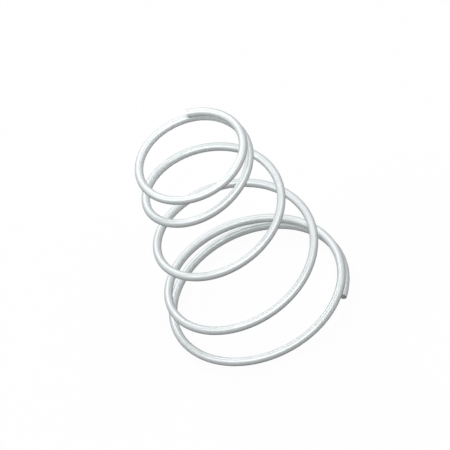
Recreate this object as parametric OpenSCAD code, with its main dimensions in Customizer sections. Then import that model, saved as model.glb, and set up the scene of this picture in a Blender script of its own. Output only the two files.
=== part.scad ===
// Conical compression spring: one length of round wire wound right-handed on a cone,
// with closed, unground coils at both ends. It stands on its large end, on the Z axis.

/* [Wire] */
// Diameter of the round wire
wire_d = 1.143; // [0.8:0.001:1.5]

/* [Cone] */
// Outside diameter at the cut end of the large end coil
large_od = 25.4; // [22:0.1:36]
// Outside diameter at the cut end of the small end coil
small_od = 15.875; // [12:0.125:20]
// Free length over both end coils
free_length = 31.75; // [24:0.25:50]

/* [Coils] */
// Turns of wire from one cut end to the other
total_turns = 5.3; // [4.5:0.1:6]
// Turns at each end that are closed up against their neighbour
closed_turns = 1; // [0.75:0.05:1.25]
// Part of a turn over which the pitch opens out from closed to full
opening_turns = 0.43; // [0.2:0.01:0.6]
// Gap that is left between a closed coil and its neighbour
closed_gap = 0.01; // [0.01:0.01:0.2]

/* [Smoothness] */
// Sides of the wire's round section
section_sides = 16; // [8:4:16]
// Straight steps in one turn of the wire
steps_per_turn = 64; // [32:4:64]

/* [Hidden] */

wire_r = wire_d / 2;
base_z = wire_r;                      // wire centre at the cut end of the large coil
rise = free_length - wire_d;          // height that the wire's centre climbs
large_r = (large_od - wire_d) / 2;    // radius of the wire's centre at each cut end
small_r = (small_od - wire_d) / 2;
cone_slope = (small_r - large_r) / rise;
closed_pitch = (wire_d + closed_gap) * cos(atan(cone_slope)); // neighbours lie along the cone's side
full_pitch = closed_pitch
    + (rise - closed_pitch * total_turns) / (total_turns - 2 * closed_turns - opening_turns);
steps = ceil(total_turns * steps_per_turn);

// Where the pitch starts to open above the large end, and starts to close below the small one
opens_at = closed_turns;
closes_at = total_turns - closed_turns - opening_turns;

// Share of the full pitch that has opened a number of turns after the opening starts, 0 to 1
function opened(turns) = min(max(turns / opening_turns, 0), 1);

// That share summed over the same turns
function opened_sum(turns) =
    turns <= 0 ? 0 :
    turns < opening_turns ? turns * turns / (2 * opening_turns) :
    turns - opening_turns / 2;

// Rise of the wire per turn, and the height and radius that its centre has reached
function pitch_at(turns) =
    closed_pitch + (full_pitch - closed_pitch) * (opened(turns - opens_at) - opened(turns - closes_at));
function climb_at(turns) =
    closed_pitch * turns
    + (full_pitch - closed_pitch) * (opened_sum(turns - opens_at) - opened_sum(turns - closes_at));
function radius_at(turns) = large_r + cone_slope * climb_at(turns);

// Centre and direction of the wire after a number of turns, counted up from the large end
function outward(turns) = [cos(360 * turns), sin(360 * turns), 0];
function sideways(turns) = [-sin(360 * turns), cos(360 * turns), 0];
function centre_at(turns) = radius_at(turns) * outward(turns) + [0, 0, base_z + climb_at(turns)];
function heading_at(turns) = unit(
    cone_slope * pitch_at(turns) * outward(turns)
    + 2 * PI * radius_at(turns) * sideways(turns)
    + [0, 0, pitch_at(turns)]);
function unit(v) = v / norm(v);

// One ring of the wire's section, square to its direction, first point outermost
function section_at(turns) =
    let (heading = heading_at(turns),
         up = unit(cross(outward(turns), heading)),
         out = cross(heading, up))
    [for (side = [0 : section_sides - 1])
        let (a = 360 * side / section_sides)
        centre_at(turns) + wire_r * (cos(a) * out + sin(a) * up)];

// Solid that joins the rings in order, with a flat cut face at each end
module swept_wire(rings) {
    sides = len(rings[0]);
    last = len(rings) - 1;
    walls = [for (i = [0 : last - 1], side = [0 : sides - 1])
        let (next = (side + 1) % sides, a = i * sides, b = a + sides)
        each [[a + side, b + side, b + next], [a + side, b + next, a + next]]];
    near_cut = [for (side = [0 : sides - 1]) side];
    far_cut = [for (side = [sides - 1 : -1 : 0]) last * sides + side];
    polyhedron(points = [for (ring = rings) each ring], faces = concat(walls, [near_cut, far_cut]));
}

module conical_spring() {
    color([0.86, 0.88, 0.88])
        swept_wire([for (i = [0 : steps]) section_at(total_turns * i / steps)]);
}

conical_spring();
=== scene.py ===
# Looks, light and camera for the conical compression spring
import math
import bpy
from mathutils import Matrix, Vector


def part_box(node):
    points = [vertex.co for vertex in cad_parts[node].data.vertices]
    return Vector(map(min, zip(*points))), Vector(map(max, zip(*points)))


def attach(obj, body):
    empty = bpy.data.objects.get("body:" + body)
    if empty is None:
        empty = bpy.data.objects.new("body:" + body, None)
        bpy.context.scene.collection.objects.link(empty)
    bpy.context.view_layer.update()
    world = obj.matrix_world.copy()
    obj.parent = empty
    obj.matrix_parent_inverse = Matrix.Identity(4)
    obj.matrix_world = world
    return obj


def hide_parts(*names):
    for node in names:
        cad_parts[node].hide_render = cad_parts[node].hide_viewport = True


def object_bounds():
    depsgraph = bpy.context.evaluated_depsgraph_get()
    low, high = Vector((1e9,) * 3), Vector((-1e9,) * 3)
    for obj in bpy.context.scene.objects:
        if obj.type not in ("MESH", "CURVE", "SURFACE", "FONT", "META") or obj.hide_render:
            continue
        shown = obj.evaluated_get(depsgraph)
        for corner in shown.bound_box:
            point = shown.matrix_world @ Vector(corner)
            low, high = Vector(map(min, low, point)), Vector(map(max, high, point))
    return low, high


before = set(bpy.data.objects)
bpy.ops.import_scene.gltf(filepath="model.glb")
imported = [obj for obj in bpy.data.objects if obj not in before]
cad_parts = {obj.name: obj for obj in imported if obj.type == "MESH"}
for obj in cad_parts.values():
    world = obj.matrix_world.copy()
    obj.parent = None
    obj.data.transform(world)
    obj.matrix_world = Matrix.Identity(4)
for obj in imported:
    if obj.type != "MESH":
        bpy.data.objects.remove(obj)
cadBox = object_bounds()
cadLow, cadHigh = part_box("conical_spring")
print("frame loaded, spring stands", round((cadHigh.z - cadLow.z) * 1000, 2), "mm tall")

mm = 0.001

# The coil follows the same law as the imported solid, with a finer skin
coilSizes = {
    "Wire Diameter": 1.143 * mm,
    "Large Outside Diameter": 25.4 * mm,
    "Small Outside Diameter": 15.875 * mm,
    "Free Length": cadHigh.z - cadLow.z,
    "Total Turns": 5.3,
    "Closed Turns": 1.0,       # dead coils at each end
    "Opening Turns": 0.43,     # pitch opens out over this much of a turn
    "Closed Gap": 0.01 * mm,   # left between a dead coil and its neighbour
    "Rings per Turn": 180,
    "Section Sides": 40,
    "Cut Edge": 0.035 * mm,    # softened rim of each sheared end
}
rimSteps = ((0.7, 0.3), (0.3, 0.7))   # shares of the cut edge: pushed out, then drawn in
wallCorners = 4                       # corners of a face on the wire's side


# Small helpers for building node trees

def addNode(tree, kind, **settings):
    node = tree.nodes.new(kind)
    for name, value in settings.items():
        setattr(node, name, value)
    return node


def feed(tree, target, source):
    # source is another node's output, or a plain value for the socket
    if isinstance(source, bpy.types.NodeSocket):
        tree.links.new(source, target)
    else:
        target.default_value = source


def mathsOf(tree):
    # one call adds one Math node and hands back its output
    def maths(operation, *terms, clamp=False):
        node = addNode(tree, "ShaderNodeMath", operation=operation)
        if clamp:
            node.use_clamp = True
        for socket, term in zip(node.inputs, terms):
            feed(tree, socket, term)
        return node.outputs[0]
    return maths


def tidyLayout(tree, columnWidth=190, rowHeight=150, rows=7):
    for index, node in enumerate(tree.nodes):
        node.location = (columnWidth * (index // rows), -rowHeight * (index % rows))


# The wire, made by Geometry Nodes

def openedSum(maths, turns, opening):
    # how much opening has added up: a parabola over the ramp, then a straight line
    onRamp = maths("MINIMUM", maths("MAXIMUM", turns, 0.0), opening)
    parabola = maths("DIVIDE", maths("MULTIPLY", onRamp, onRamp), maths("MULTIPLY", opening, 2.0))
    beyond = maths("MAXIMUM", maths("SUBTRACT", turns, opening), 0.0)
    return maths("ADD", parabola, beyond)


def buildCoilTree():
    tree = bpy.data.node_groups.new("conicalCoil", "GeometryNodeTree")
    whole = {"Rings per Turn", "Section Sides"}
    for name in coilSizes:
        kind = "NodeSocketInt" if name in whole else "NodeSocketFloat"
        tree.interface.new_socket(name, in_out="INPUT", socket_type=kind)
    for name in ("Wire Finish", "Cut Finish"):
        tree.interface.new_socket(name, in_out="INPUT", socket_type="NodeSocketMaterial")
    tree.interface.new_socket("Geometry", in_out="OUTPUT", socket_type="NodeSocketGeometry")

    maths = mathsOf(tree)
    given = addNode(tree, "NodeGroupInput").outputs
    wire, totalTurns = given["Wire Diameter"], given["Total Turns"]
    closed, opening = given["Closed Turns"], given["Opening Turns"]

    # radii of the wire's centre, and the two pitches
    wireRadius = maths("MULTIPLY", wire, 0.5)
    largeRadius = maths("MULTIPLY", maths("SUBTRACT", given["Large Outside Diameter"], wire), 0.5)
    smallRadius = maths("MULTIPLY", maths("SUBTRACT", given["Small Outside Diameter"], wire), 0.5)
    rise = maths("SUBTRACT", given["Free Length"], wire)
    coneSlope = maths("DIVIDE", maths("SUBTRACT", smallRadius, largeRadius), rise)
    slant = maths("SQRT", maths("ADD", maths("MULTIPLY", coneSlope, coneSlope), 1.0))
    # neighbours in a closed coil lie along the cone
    closedPitch = maths("DIVIDE", maths("ADD", wire, given["Closed Gap"]), slant)
    freeTurns = maths("SUBTRACT", totalTurns, maths("MULTIPLY", closed, 2.0))
    openTurns = maths("SUBTRACT", freeTurns, opening)
    spareRise = maths("SUBTRACT", rise, maths("MULTIPLY", closedPitch, totalTurns))
    extraPitch = maths("DIVIDE", spareRise, openTurns)

    # climb of the wire after some turns, counted up from the large end
    share = addNode(tree, "GeometryNodeSplineParameter")
    turns = maths("MULTIPLY", share.outputs["Factor"], totalTurns)
    closesAt = maths("SUBTRACT", maths("SUBTRACT", totalTurns, closed), opening)
    opened = openedSum(maths, maths("SUBTRACT", turns, closed), opening)
    shut = openedSum(maths, maths("SUBTRACT", turns, closesAt), opening)
    climb = maths("ADD", maths("MULTIPLY", closedPitch, turns),
                  maths("MULTIPLY", extraPitch, maths("SUBTRACT", opened, shut)))
    radius = maths("ADD", largeRadius, maths("MULTIPLY", coneSlope, climb))
    angle = maths("MULTIPLY", turns, 2 * math.pi)

    # centre line of the wire
    line = addNode(tree, "GeometryNodeCurvePrimitiveLine")
    rings = addNode(tree, "GeometryNodeResampleCurve", mode="COUNT")
    feed(tree, rings.inputs["Curve"], line.outputs["Curve"])
    steps = maths("MULTIPLY", totalTurns, given["Rings per Turn"])
    feed(tree, rings.inputs["Count"], maths("ADD", steps, 1.0))
    centre = addNode(tree, "ShaderNodeCombineXYZ")
    feed(tree, centre.inputs["X"], maths("MULTIPLY", radius, maths("COSINE", angle)))
    feed(tree, centre.inputs["Y"], maths("MULTIPLY", radius, maths("SINE", angle)))
    feed(tree, centre.inputs["Z"], maths("ADD", wireRadius, climb))
    path = addNode(tree, "GeometryNodeSetPosition")
    feed(tree, path.inputs["Geometry"], rings.outputs["Curve"])
    feed(tree, path.inputs["Position"], centre.outputs["Vector"])
    # keeps the section's X pointing out of the coil
    upright = addNode(tree, "GeometryNodeSetCurveNormal", mode="Z_UP")
    feed(tree, upright.inputs["Curve"], path.outputs["Geometry"])

    def keep(geometry, name, value, kind="FLOAT"):
        node = addNode(tree, "GeometryNodeStoreNamedAttribute", data_type=kind, domain="POINT")
        feed(tree, node.inputs["Geometry"], geometry)
        node.inputs["Name"].default_value = name
        feed(tree, node.inputs["Value"], value)
        return node.outputs["Geometry"]

    def recall(name, kind="FLOAT"):
        node = addNode(tree, "GeometryNodeInputNamedAttribute", data_type=kind)
        node.inputs["Name"].default_value = name
        return node.outputs["Attribute"]

    travelled = addNode(tree, "GeometryNodeSplineParameter").outputs["Length"]
    rail = keep(upright.outputs["Curve"], "along", travelled)
    circle = addNode(tree, "GeometryNodeCurvePrimitiveCircle", mode="RADIUS")
    feed(tree, circle.inputs["Resolution"], given["Section Sides"])
    feed(tree, circle.inputs["Radius"], wireRadius)
    onSection = addNode(tree, "GeometryNodeInputPosition").outputs["Position"]
    section = keep(circle.outputs["Curve"], "section", onSection, "FLOAT_VECTOR")

    skin = addNode(tree, "GeometryNodeCurveToMesh")
    feed(tree, skin.inputs["Curve"], rail)
    feed(tree, skin.inputs["Profile Curve"], section)
    skin.inputs["Fill Caps"].default_value = True

    # sheared ends: only their faces have more corners, and the rim is eased off in two steps
    corners = addNode(tree, "GeometryNodeInputMeshFaceNeighbors").outputs["Vertex Count"]
    isCut = addNode(tree, "FunctionNodeCompare", data_type="INT", operation="GREATER_THAN")
    ints = [s for s in isCut.inputs if s.type == "INT"]
    feed(tree, ints[0], corners)
    ints[1].default_value = wallCorners
    cut = isCut.outputs["Result"]
    shape = skin.outputs["Mesh"]
    for push, draw in rimSteps:
        extrude = addNode(tree, "GeometryNodeExtrudeMesh", mode="FACES")
        feed(tree, extrude.inputs["Mesh"], shape)
        feed(tree, extrude.inputs["Selection"], cut)
        feed(tree, extrude.inputs["Offset Scale"], maths("MULTIPLY", given["Cut Edge"], push))
        shrink = addNode(tree, "GeometryNodeScaleElements", domain="FACE")
        feed(tree, shrink.inputs["Geometry"], extrude.outputs["Mesh"])
        feed(tree, shrink.inputs["Selection"], cut)
        drawn = maths("DIVIDE", maths("MULTIPLY", given["Cut Edge"], draw), wireRadius)
        feed(tree, shrink.inputs["Scale"], maths("SUBTRACT", 1.0, drawn))
        shape = shrink.outputs["Geometry"]

    # place on the straightened wire, in metres: x along it, y out of the coil, z down
    parts = addNode(tree, "ShaderNodeSeparateXYZ")
    feed(tree, parts.inputs["Vector"], recall("section", "FLOAT_VECTOR"))
    straight = addNode(tree, "ShaderNodeCombineXYZ")
    feed(tree, straight.inputs["X"], recall("along"))
    feed(tree, straight.inputs["Y"], parts.outputs["X"])
    feed(tree, straight.inputs["Z"], parts.outputs["Y"])
    placed = keep(shape, "wirePlace", straight.outputs["Vector"], "FLOAT_VECTOR")

    smooth = addNode(tree, "GeometryNodeSetShadeSmooth", domain="FACE")
    feed(tree, smooth.inputs["Geometry"], placed)
    feed(tree, smooth.inputs["Shade Smooth"], maths("SUBTRACT", 1.0, cut))
    real = addNode(tree, "GeometryNodeRealizeInstances")
    feed(tree, real.inputs["Geometry"], smooth.outputs["Geometry"])
    finish = addNode(tree, "GeometryNodeSetMaterial")
    feed(tree, finish.inputs["Geometry"], real.outputs["Geometry"])
    feed(tree, finish.inputs["Material"], given["Wire Finish"])
    cutFinish = addNode(tree, "GeometryNodeSetMaterial")
    feed(tree, cutFinish.inputs["Geometry"], finish.outputs["Geometry"])
    feed(tree, cutFinish.inputs["Selection"], cut)
    feed(tree, cutFinish.inputs["Material"], given["Cut Finish"])
    out = addNode(tree, "NodeGroupOutput")
    feed(tree, out.inputs["Geometry"], cutFinish.outputs["Geometry"])
    tidyLayout(tree)
    return tree


def makeWire(wireFinish, cutFinish):
    piece = bpy.data.objects.new("spring_wire_form", bpy.data.meshes.new("spring_wire_form"))
    bpy.context.scene.collection.objects.link(piece)
    modifier = piece.modifiers.new("coil", "NODES")
    modifier.node_group = buildCoilTree()
    values = dict(coilSizes)
    values["Wire Finish"] = wireFinish
    values["Cut Finish"] = cutFinish
    for item in modifier.node_group.interface.items_tree:
        if item.in_out == "INPUT":
            modifier[item.identifier] = values[item.name]
    view = bpy.context.evaluated_depsgraph_get()
    mesh = bpy.data.meshes.new_from_object(piece.evaluated_get(view))
    mesh.name = "spring_wire_form"
    piece.modifiers.remove(modifier)
    piece.data = mesh
    return piece


# Finishes

wireLook = {
    "colour": (0.84, 0.885, 0.89),
    "paleColour": (0.89, 0.92, 0.925),     # rubbed and high spots
    "dullColour": (0.70, 0.745, 0.755),    # faint clouding of the plating
    "metallic": 0.25,
    "specular": 0.0,                       # shine comes from the metal share alone
    "edgeTint": (0.1, 0.1, 0.1),           # dulls the shine where the wire turns away
    "roughness": 0.42,
    "lineWidth": 0.028 * mm,               # drawing lines along the wire
    "lineLength": 9 * mm,
    "lineDepth": 0.0011 * mm,
    "lineRoughness": 0.05,
    "grainSize": 0.035 * mm,
    "grainDepth": 0.0003 * mm,
    "cloudSize": 2.6 * mm,
    "cloudRoughness": 0.05,
    "rubRoughness": -0.06,                 # the coiling tool's rub, outside and inside the coil
    "rubEdge": 0.93,                       # share of the wire's radius where the rub starts
    "cloudTone": 0.35,                     # most of the dull colour that a cloud brings
    "wornTone": 0.5,                       # most of the pale colour that wear brings
}
cutLook = {
    # The cut face's colours are darker than the wire's: partly the duller sheared and torn steel, partly
    # painted shade for the end faces where they turn away from the light
    "colour": (0.60, 0.61, 0.62),
    "tornColour": (0.52, 0.53, 0.54),
    "metallic": 0.2,
    "roughness": 0.36,
    "tornRoughness": 0.62,
    "shearShare": -0.15,                   # where the sheared part gives way to the torn part
    "shearBlend": 0.13,                    # half the width over which it does
    "strokeWidth": 0.022 * mm,
    "strokeDepth": 0.004 * mm,
    "tornSize": 0.05 * mm,
    "tornDepth": 0.010 * mm,
    "tornRagged": 0.6,                     # how ragged the edge of the torn part is
    "strokeLength": 20,                    # times the width of a stroke
    "strokeTone": 0.25,                    # most of the wire's colour that a stroke brings
}

# Shapes of the marks; a range gives the noise level where a mark starts and where it is full
markShapes = {
    "scoreSizes": (0.45, 0.4, 0.4),        # deep scores against the fine lines: long, wide, across
    "scoreRange": (0.60, 0.70),
    "scoreDepth": 0.5,
    "cloudWidth": 0.3,                     # against the cloud's length
    "cloudRange": (0.32, 0.68),
    "rubFade": 0.05,                       # of the wire's radius
    "rubWidth": 0.12,                      # of the wire's radius
    "rubRange": (0.40, 0.62),
    "wearRange": (0.45, 0.75),
}


def newGroup(name, inputs, outputs):
    group = bpy.data.node_groups.new(name, "ShaderNodeTree")
    kinds = {"vector": "NodeSocketVector", "value": "NodeSocketFloat"}
    for label, kind in inputs.items():
        group.interface.new_socket(label, in_out="INPUT", socket_type=kinds[kind])
    for label, kind in outputs.items():
        group.interface.new_socket(label, in_out="OUTPUT", socket_type=kinds[kind])
    given = addNode(group, "NodeGroupInput").outputs
    handed = addNode(group, "NodeGroupOutput").inputs
    return group, given, handed


def noiseOf(tree, vector, scale=1.0, detail=2.0, roughness=0.5):
    node = addNode(tree, "ShaderNodeTexNoise")
    feed(tree, node.inputs["Vector"], vector)
    for label, value in (("Scale", scale), ("Detail", detail), ("Roughness", roughness)):
        feed(tree, node.inputs[label], value)
    return node.outputs["Fac"]


def eased(tree, value, low, high):
    # 0 below low, 1 above high, and a smooth step between
    node = addNode(tree, "ShaderNodeMapRange", interpolation_type="SMOOTHSTEP")
    for label, term in (("Value", value), ("From Min", low), ("From Max", high)):
        feed(tree, node.inputs[label], term)
    return node.outputs["Result"]


def stretchedPlace(tree, place, sizes):
    # place on the straight wire, in steps of a size of its own along each axis
    parts, joined = addNode(tree, "ShaderNodeSeparateXYZ"), addNode(tree, "ShaderNodeCombineXYZ")
    feed(tree, parts.inputs["Vector"], place)
    maths = mathsOf(tree)
    for axis, size in zip("XYZ", sizes):
        feed(tree, joined.inputs[axis], maths("DIVIDE", parts.outputs[axis], size))
    return joined.outputs["Vector"]


def buildStreaks():
    # fine lines that run one way: along drawn wire, or down a sheared face
    inputs = {"Place": "vector", "Long": "value", "Wide": "value", "Across": "value"}
    group, given, handed = newGroup("streaks", inputs, {"Streaks": "value"})
    maths = mathsOf(group)
    sizes = [given[label] for label in ("Long", "Wide", "Across")]
    finer = [maths("MULTIPLY", size, share) for size, share in zip(sizes, markShapes["scoreSizes"])]
    coarse = noiseOf(group, stretchedPlace(group, given["Place"], sizes), detail=3.0, roughness=0.6)
    scored = noiseOf(group, stretchedPlace(group, given["Place"], finer), detail=1.0)
    deep = maths("MULTIPLY", eased(group, scored, *markShapes["scoreRange"]), markShapes["scoreDepth"])
    feed(group, handed["Streaks"], maths("SUBTRACT", coarse, deep, clamp=True))
    tidyLayout(group)
    return group


def buildClouds():
    # slow change of tone over the plating
    inputs = {"Place": "vector", "Size": "value"}
    group, given, handed = newGroup("clouds", inputs, {"Clouds": "value"})
    maths = mathsOf(group)
    wide = maths("MULTIPLY", given["Size"], markShapes["cloudWidth"])
    placed = stretchedPlace(group, given["Place"], (given["Size"], wide, wide))
    cloudy = noiseOf(group, placed, detail=4.0, roughness=0.62)
    feed(group, handed["Clouds"], eased(group, cloudy, *markShapes["cloudRange"]))
    tidyLayout(group)
    return group


def buildRub():
    # rubbed bands on the outside and inside of the coil, broken up along the wire
    inputs = {"Place": "vector", "Radius": "value", "Edge": "value", "Long": "value"}
    group, given, handed = newGroup("toolRub", inputs, {"Rub": "value"})
    maths = mathsOf(group)
    parts = addNode(group, "ShaderNodeSeparateXYZ")
    feed(group, parts.inputs["Vector"], given["Place"])
    side = maths("ABSOLUTE", maths("DIVIDE", parts.outputs["Y"], given["Radius"]))
    band = eased(group, side, given["Edge"], maths("ADD", given["Edge"], markShapes["rubFade"]))
    narrow = maths("MULTIPLY", given["Radius"], markShapes["rubWidth"])
    placed = stretchedPlace(group, given["Place"], (given["Long"], narrow, narrow))
    broken = noiseOf(group, placed, detail=3.0)
    feed(group, handed["Rub"], maths("MULTIPLY", band, eased(group, broken, *markShapes["rubRange"])))
    tidyLayout(group)
    return group


def buildGrain():
    # fine even roughness, the same in every direction
    inputs = {"Place": "vector", "Size": "value"}
    group, given, handed = newGroup("grain", inputs, {"Grain": "value"})
    placed = stretchedPlace(group, given["Place"], [given["Size"]] * 3)
    feed(group, handed["Grain"], noiseOf(group, placed, detail=2.0, roughness=0.55))
    tidyLayout(group)
    return group


effects = {
    "streaks": buildStreaks(),
    "clouds": buildClouds(),
    "rub": buildRub(),
    "grain": buildGrain(),
}


def useEffect(tree, name, **values):
    node = addNode(tree, "ShaderNodeGroup", node_tree=effects[name])
    for label, value in values.items():
        feed(tree, node.inputs[label], value)
    return node.outputs[0]


def blended(tree, share, low, high):
    node = addNode(tree, "ShaderNodeMix", data_type="RGBA")
    colours = [socket for socket in node.inputs if socket.type == "RGBA"]
    feed(tree, node.inputs["Factor"], share)
    for socket, colour in zip(colours, (low, high)):
        feed(tree, socket, colour if isinstance(colour, bpy.types.NodeSocket) else (*colour, 1))
    return next(socket for socket in node.outputs if socket.type == "RGBA")


def startFinish(name, metallic):
    material = bpy.data.materials.new(name)
    material.use_nodes = True
    tree = material.node_tree
    shader = tree.nodes["Principled BSDF"]
    shader.inputs["Metallic"].default_value = metallic
    place = addNode(tree, "ShaderNodeAttribute", attribute_name="wirePlace").outputs["Vector"]
    return material, tree, shader, place


def addRelief(tree, shader, layers):
    # layers of height in metres, one bump on another
    under = None
    for height, depth in layers:
        bump = addNode(tree, "ShaderNodeBump")
        bump.inputs["Distance"].default_value = depth
        feed(tree, bump.inputs["Height"], height)
        if under:
            feed(tree, bump.inputs["Normal"], under)
        under = bump.outputs["Normal"]
    feed(tree, shader.inputs["Normal"], under)


def makeWireFinish():
    look = wireLook
    material, tree, shader, place = startFinish("springWire", look["metallic"])
    shader.inputs["Specular IOR Level"].default_value = look["specular"]
    shader.inputs["Specular Tint"].default_value = (*look["edgeTint"], 1)
    maths = mathsOf(tree)
    streaks = useEffect(tree, "streaks", Place=place, Long=look["lineLength"],
                        Wide=look["lineWidth"], Across=look["lineWidth"])
    clouds = useEffect(tree, "clouds", Place=place, Size=look["cloudSize"])
    rub = useEffect(tree, "rub", Place=place, Radius=coilSizes["Wire Diameter"] / 2,
                    Edge=look["rubEdge"], Long=look["lineLength"])
    grain = useEffect(tree, "grain", Place=place, Size=look["grainSize"])

    dulled = blended(tree, maths("MULTIPLY", clouds, look["cloudTone"]), look["colour"], look["dullColour"])
    wear = maths("ADD", rub, eased(tree, streaks, *markShapes["wearRange"]), clamp=True)
    lifted = maths("MULTIPLY", wear, look["wornTone"])
    feed(tree, shader.inputs["Base Color"], blended(tree, lifted, dulled, look["paleColour"]))

    lined = maths("MULTIPLY", maths("SUBTRACT", 0.5, streaks), 2 * look["lineRoughness"])
    worn = maths("MULTIPLY", rub, look["rubRoughness"])
    clouded = maths("MULTIPLY", maths("SUBTRACT", clouds, 0.5), look["cloudRoughness"])
    rough = maths("ADD", maths("ADD", look["roughness"], lined), maths("ADD", worn, clouded))
    feed(tree, shader.inputs["Roughness"], rough)
    addRelief(tree, shader, [(streaks, look["lineDepth"]), (grain, look["grainDepth"])])
    tidyLayout(tree)
    return material


def makeCutFinish():
    look = cutLook
    material, tree, shader, place = startFinish("cutFace", look["metallic"])
    maths = mathsOf(tree)
    parts = addNode(tree, "ShaderNodeSeparateXYZ")
    feed(tree, parts.inputs["Vector"], place)
    down = maths("DIVIDE", parts.outputs["Z"], coilSizes["Wire Diameter"] / 2)
    torn = useEffect(tree, "grain", Place=place, Size=look["tornSize"])
    uneven = maths("MULTIPLY", maths("SUBTRACT", torn, 0.5), look["tornRagged"])
    edge, blend = look["shearShare"], look["shearBlend"]
    tornPart = eased(tree, maths("ADD", down, uneven), edge - blend, edge + blend)
    strokes = useEffect(tree, "streaks", Place=place, Long=look["strokeWidth"],
                        Wide=look["strokeWidth"], Across=look["strokeLength"] * look["strokeWidth"])

    # sheared and torn tones of the cut face, both set darker than the wire partly as painted shade
    cutToneAndPaintedShade = blended(tree, tornPart, look["colour"], look["tornColour"])
    bright = maths("MULTIPLY", strokes, look["strokeTone"])
    feed(tree, shader.inputs["Base Color"], blended(tree, bright, cutToneAndPaintedShade, wireLook["colour"]))
    rougher = maths("MULTIPLY", tornPart, look["tornRoughness"] - look["roughness"])
    feed(tree, shader.inputs["Roughness"], maths("ADD", rougher, look["roughness"]))
    sheared = maths("MULTIPLY", strokes, maths("SUBTRACT", 1.0, tornPart))
    addRelief(tree, shader, [(sheared, look["strokeDepth"]),
                             (maths("MULTIPLY", torn, tornPart), look["tornDepth"])])
    tidyLayout(tree)
    return material


wireFinish = makeWireFinish()
cutFinish = makeCutFinish()
print("finishes made")
spring = makeWire(wireFinish, cutFinish)
print("wire made,", len(spring.data.polygons), "faces")
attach(spring, "root")
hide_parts("conical_spring")


# Camera, light and floor

cameraSetup = {
    "azimuth": 34.34,            # degrees round from the front
    "elevation": 46.04,          # degrees above the horizon
    "roll": -26.11,              # degrees, so the spring leans to the left in the frame
    "pictureWidth": 450,         # pixels
    "pixelsPerMetre": 7435,
    "aimAcross": -0.036 * mm,    # aim beside the spring's middle, to the right in the picture
    "distance": 0.4,
    "clipRange": (0.01, 10),
}


def towards(azimuth, elevation):
    # unit direction from the spring, from degrees round from the front and degrees up
    turn, lift = math.radians(azimuth), math.radians(elevation)
    return Vector((math.sin(turn) * math.cos(lift), -math.cos(turn) * math.cos(lift), math.sin(lift)))


def makeCamera():
    setup = cameraSetup
    back = towards(setup["azimuth"], setup["elevation"])
    middle = (cadBox[0] + cadBox[1]) / 2
    camera = bpy.data.objects.new("camera", bpy.data.cameras.new("camera"))
    bpy.context.scene.collection.objects.link(camera)
    camera.data.type = "ORTHO"
    camera.data.ortho_scale = setup["pictureWidth"] / setup["pixelsPerMetre"]
    roll = Matrix.Rotation(math.radians(setup["roll"]), 3, "Z")
    aim = (-back).to_track_quat("-Z", "Y").to_matrix() @ roll
    beside = aim @ Vector((setup["aimAcross"], 0, 0))
    stand = middle + beside + back * setup["distance"]
    camera.matrix_world = Matrix.Translation(stand) @ aim.to_4x4()
    camera.data.clip_start, camera.data.clip_end = setup["clipRange"]
    bpy.context.scene.camera = camera


makeCamera()
print("camera set")

studioSetup = {
    "floorColour": (0.05, 0.05, 0.05),   # what the floor throws back at the spring
    "floorGlow": 0.955,                  # plain white added to the floor where it is looked at
    "floorRadius": 1.2,
    "floorSides": 96,
    "fillStrength": 0.01,                # plain light from all round
    "lampDistance": 0.5,
    "lamps": {                           # degrees round from the front, degrees up, size, watts
        "left": (-61, 49, 0.3, 0.82),
        "right": (76, 58, 0.3, 0.74),
        "backLeft": (-141, 39, 0.3, 0.86),
        "backRight": (136, 54, 0.3, 0.50),
    },
    "cards": {                           # the same, but seen only in the wire's shine
        "frontCard": (46, 58, 0.3, 0.80),
        "topCard": (-6, 62, 0.3, 0.80),
    },
}


def seenDirectly(tree):
    # 1 for rays from the camera and for mirror and glass rays, 0 for light that bounces
    path = addNode(tree, "ShaderNodeLightPath").outputs
    maths = mathsOf(tree)
    looked = maths("ADD", path["Is Camera Ray"], path["Is Glossy Ray"])
    return maths("ADD", looked, path["Is Transmission Ray"], clamp=True)


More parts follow.
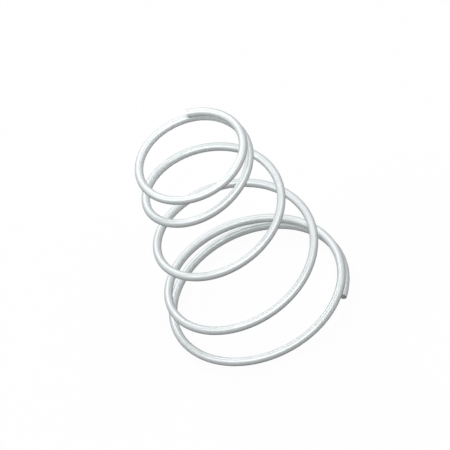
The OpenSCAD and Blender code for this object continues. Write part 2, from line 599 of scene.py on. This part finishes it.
def makeWorld():
    world = bpy.data.worlds.new("studio")
    bpy.context.scene.world = world
    world.use_nodes = True
    tree = world.node_tree
    tree.nodes.clear()
    fill, white = addNode(tree, "ShaderNodeBackground"), addNode(tree, "ShaderNodeBackground")
    fill.inputs["Strength"].default_value = studioSetup["fillStrength"]
    for light in (fill, white):
        light.inputs["Color"].default_value = (1, 1, 1, 1)
    mix = addNode(tree, "ShaderNodeMixShader")
    feed(tree, mix.inputs[0], seenDirectly(tree))
    feed(tree, mix.inputs[1], fill.outputs[0])
    feed(tree, mix.inputs[2], white.outputs[0])
    feed(tree, addNode(tree, "ShaderNodeOutputWorld").inputs["Surface"], mix.outputs[0])
    tidyLayout(tree)


def makeFloor():
    mesh = bpy.data.meshes.new("floor")
    radius, sides = studioSetup["floorRadius"], studioSetup["floorSides"]
    around = [2 * math.pi * step / sides for step in range(sides)]
    corners = [(radius * math.cos(a), radius * math.sin(a), cadBox[0].z) for a in around]
    mesh.from_pydata(corners, [], [list(range(sides))])
    floor = bpy.data.objects.new("floor", mesh)
    bpy.context.scene.collection.objects.link(floor)
    material = bpy.data.materials.new("paleFloor")
    material.use_nodes = True
    tree = material.node_tree
    tree.nodes.clear()
    matt, white = addNode(tree, "ShaderNodeBsdfDiffuse"), addNode(tree, "ShaderNodeEmission")
    matt.inputs["Color"].default_value = (*studioSetup["floorColour"], 1)
    glow = mathsOf(tree)("MULTIPLY", seenDirectly(tree), studioSetup["floorGlow"])
    feed(tree, white.inputs["Strength"], glow)
    both = addNode(tree, "ShaderNodeAddShader")
    feed(tree, both.inputs[0], matt.outputs[0])
    feed(tree, both.inputs[1], white.outputs[0])
    feed(tree, addNode(tree, "ShaderNodeOutputMaterial").inputs["Surface"], both.outputs[0])
    tidyLayout(tree)
    material.cycles.emission_sampling = "NONE"   # its glow lights nothing
    mesh.materials.append(material)


def makeLamps(lamps, lightsTheWire):
    middle = (cadBox[0] + cadBox[1]) / 2
    for name, (azimuth, elevation, size, watts) in lamps.items():
        way = towards(azimuth, elevation)
        lamp = bpy.data.lights.new(name, "AREA")
        lamp.shape, lamp.size, lamp.energy = "DISK", size, watts
        holder = bpy.data.objects.new(name, lamp)
        bpy.context.scene.collection.objects.link(holder)
        holder.visible_diffuse = lightsTheWire
        holder.matrix_world = (Matrix.Translation(middle + way * studioSetup["lampDistance"])
                               @ way.to_track_quat("Z", "Y").to_matrix().to_4x4())


makeWorld()
makeFloor()
makeLamps(studioSetup["lamps"], True)
makeLamps(studioSetup["cards"], False)
bpy.context.scene.view_settings.view_transform = "Standard"
print("studio lit")
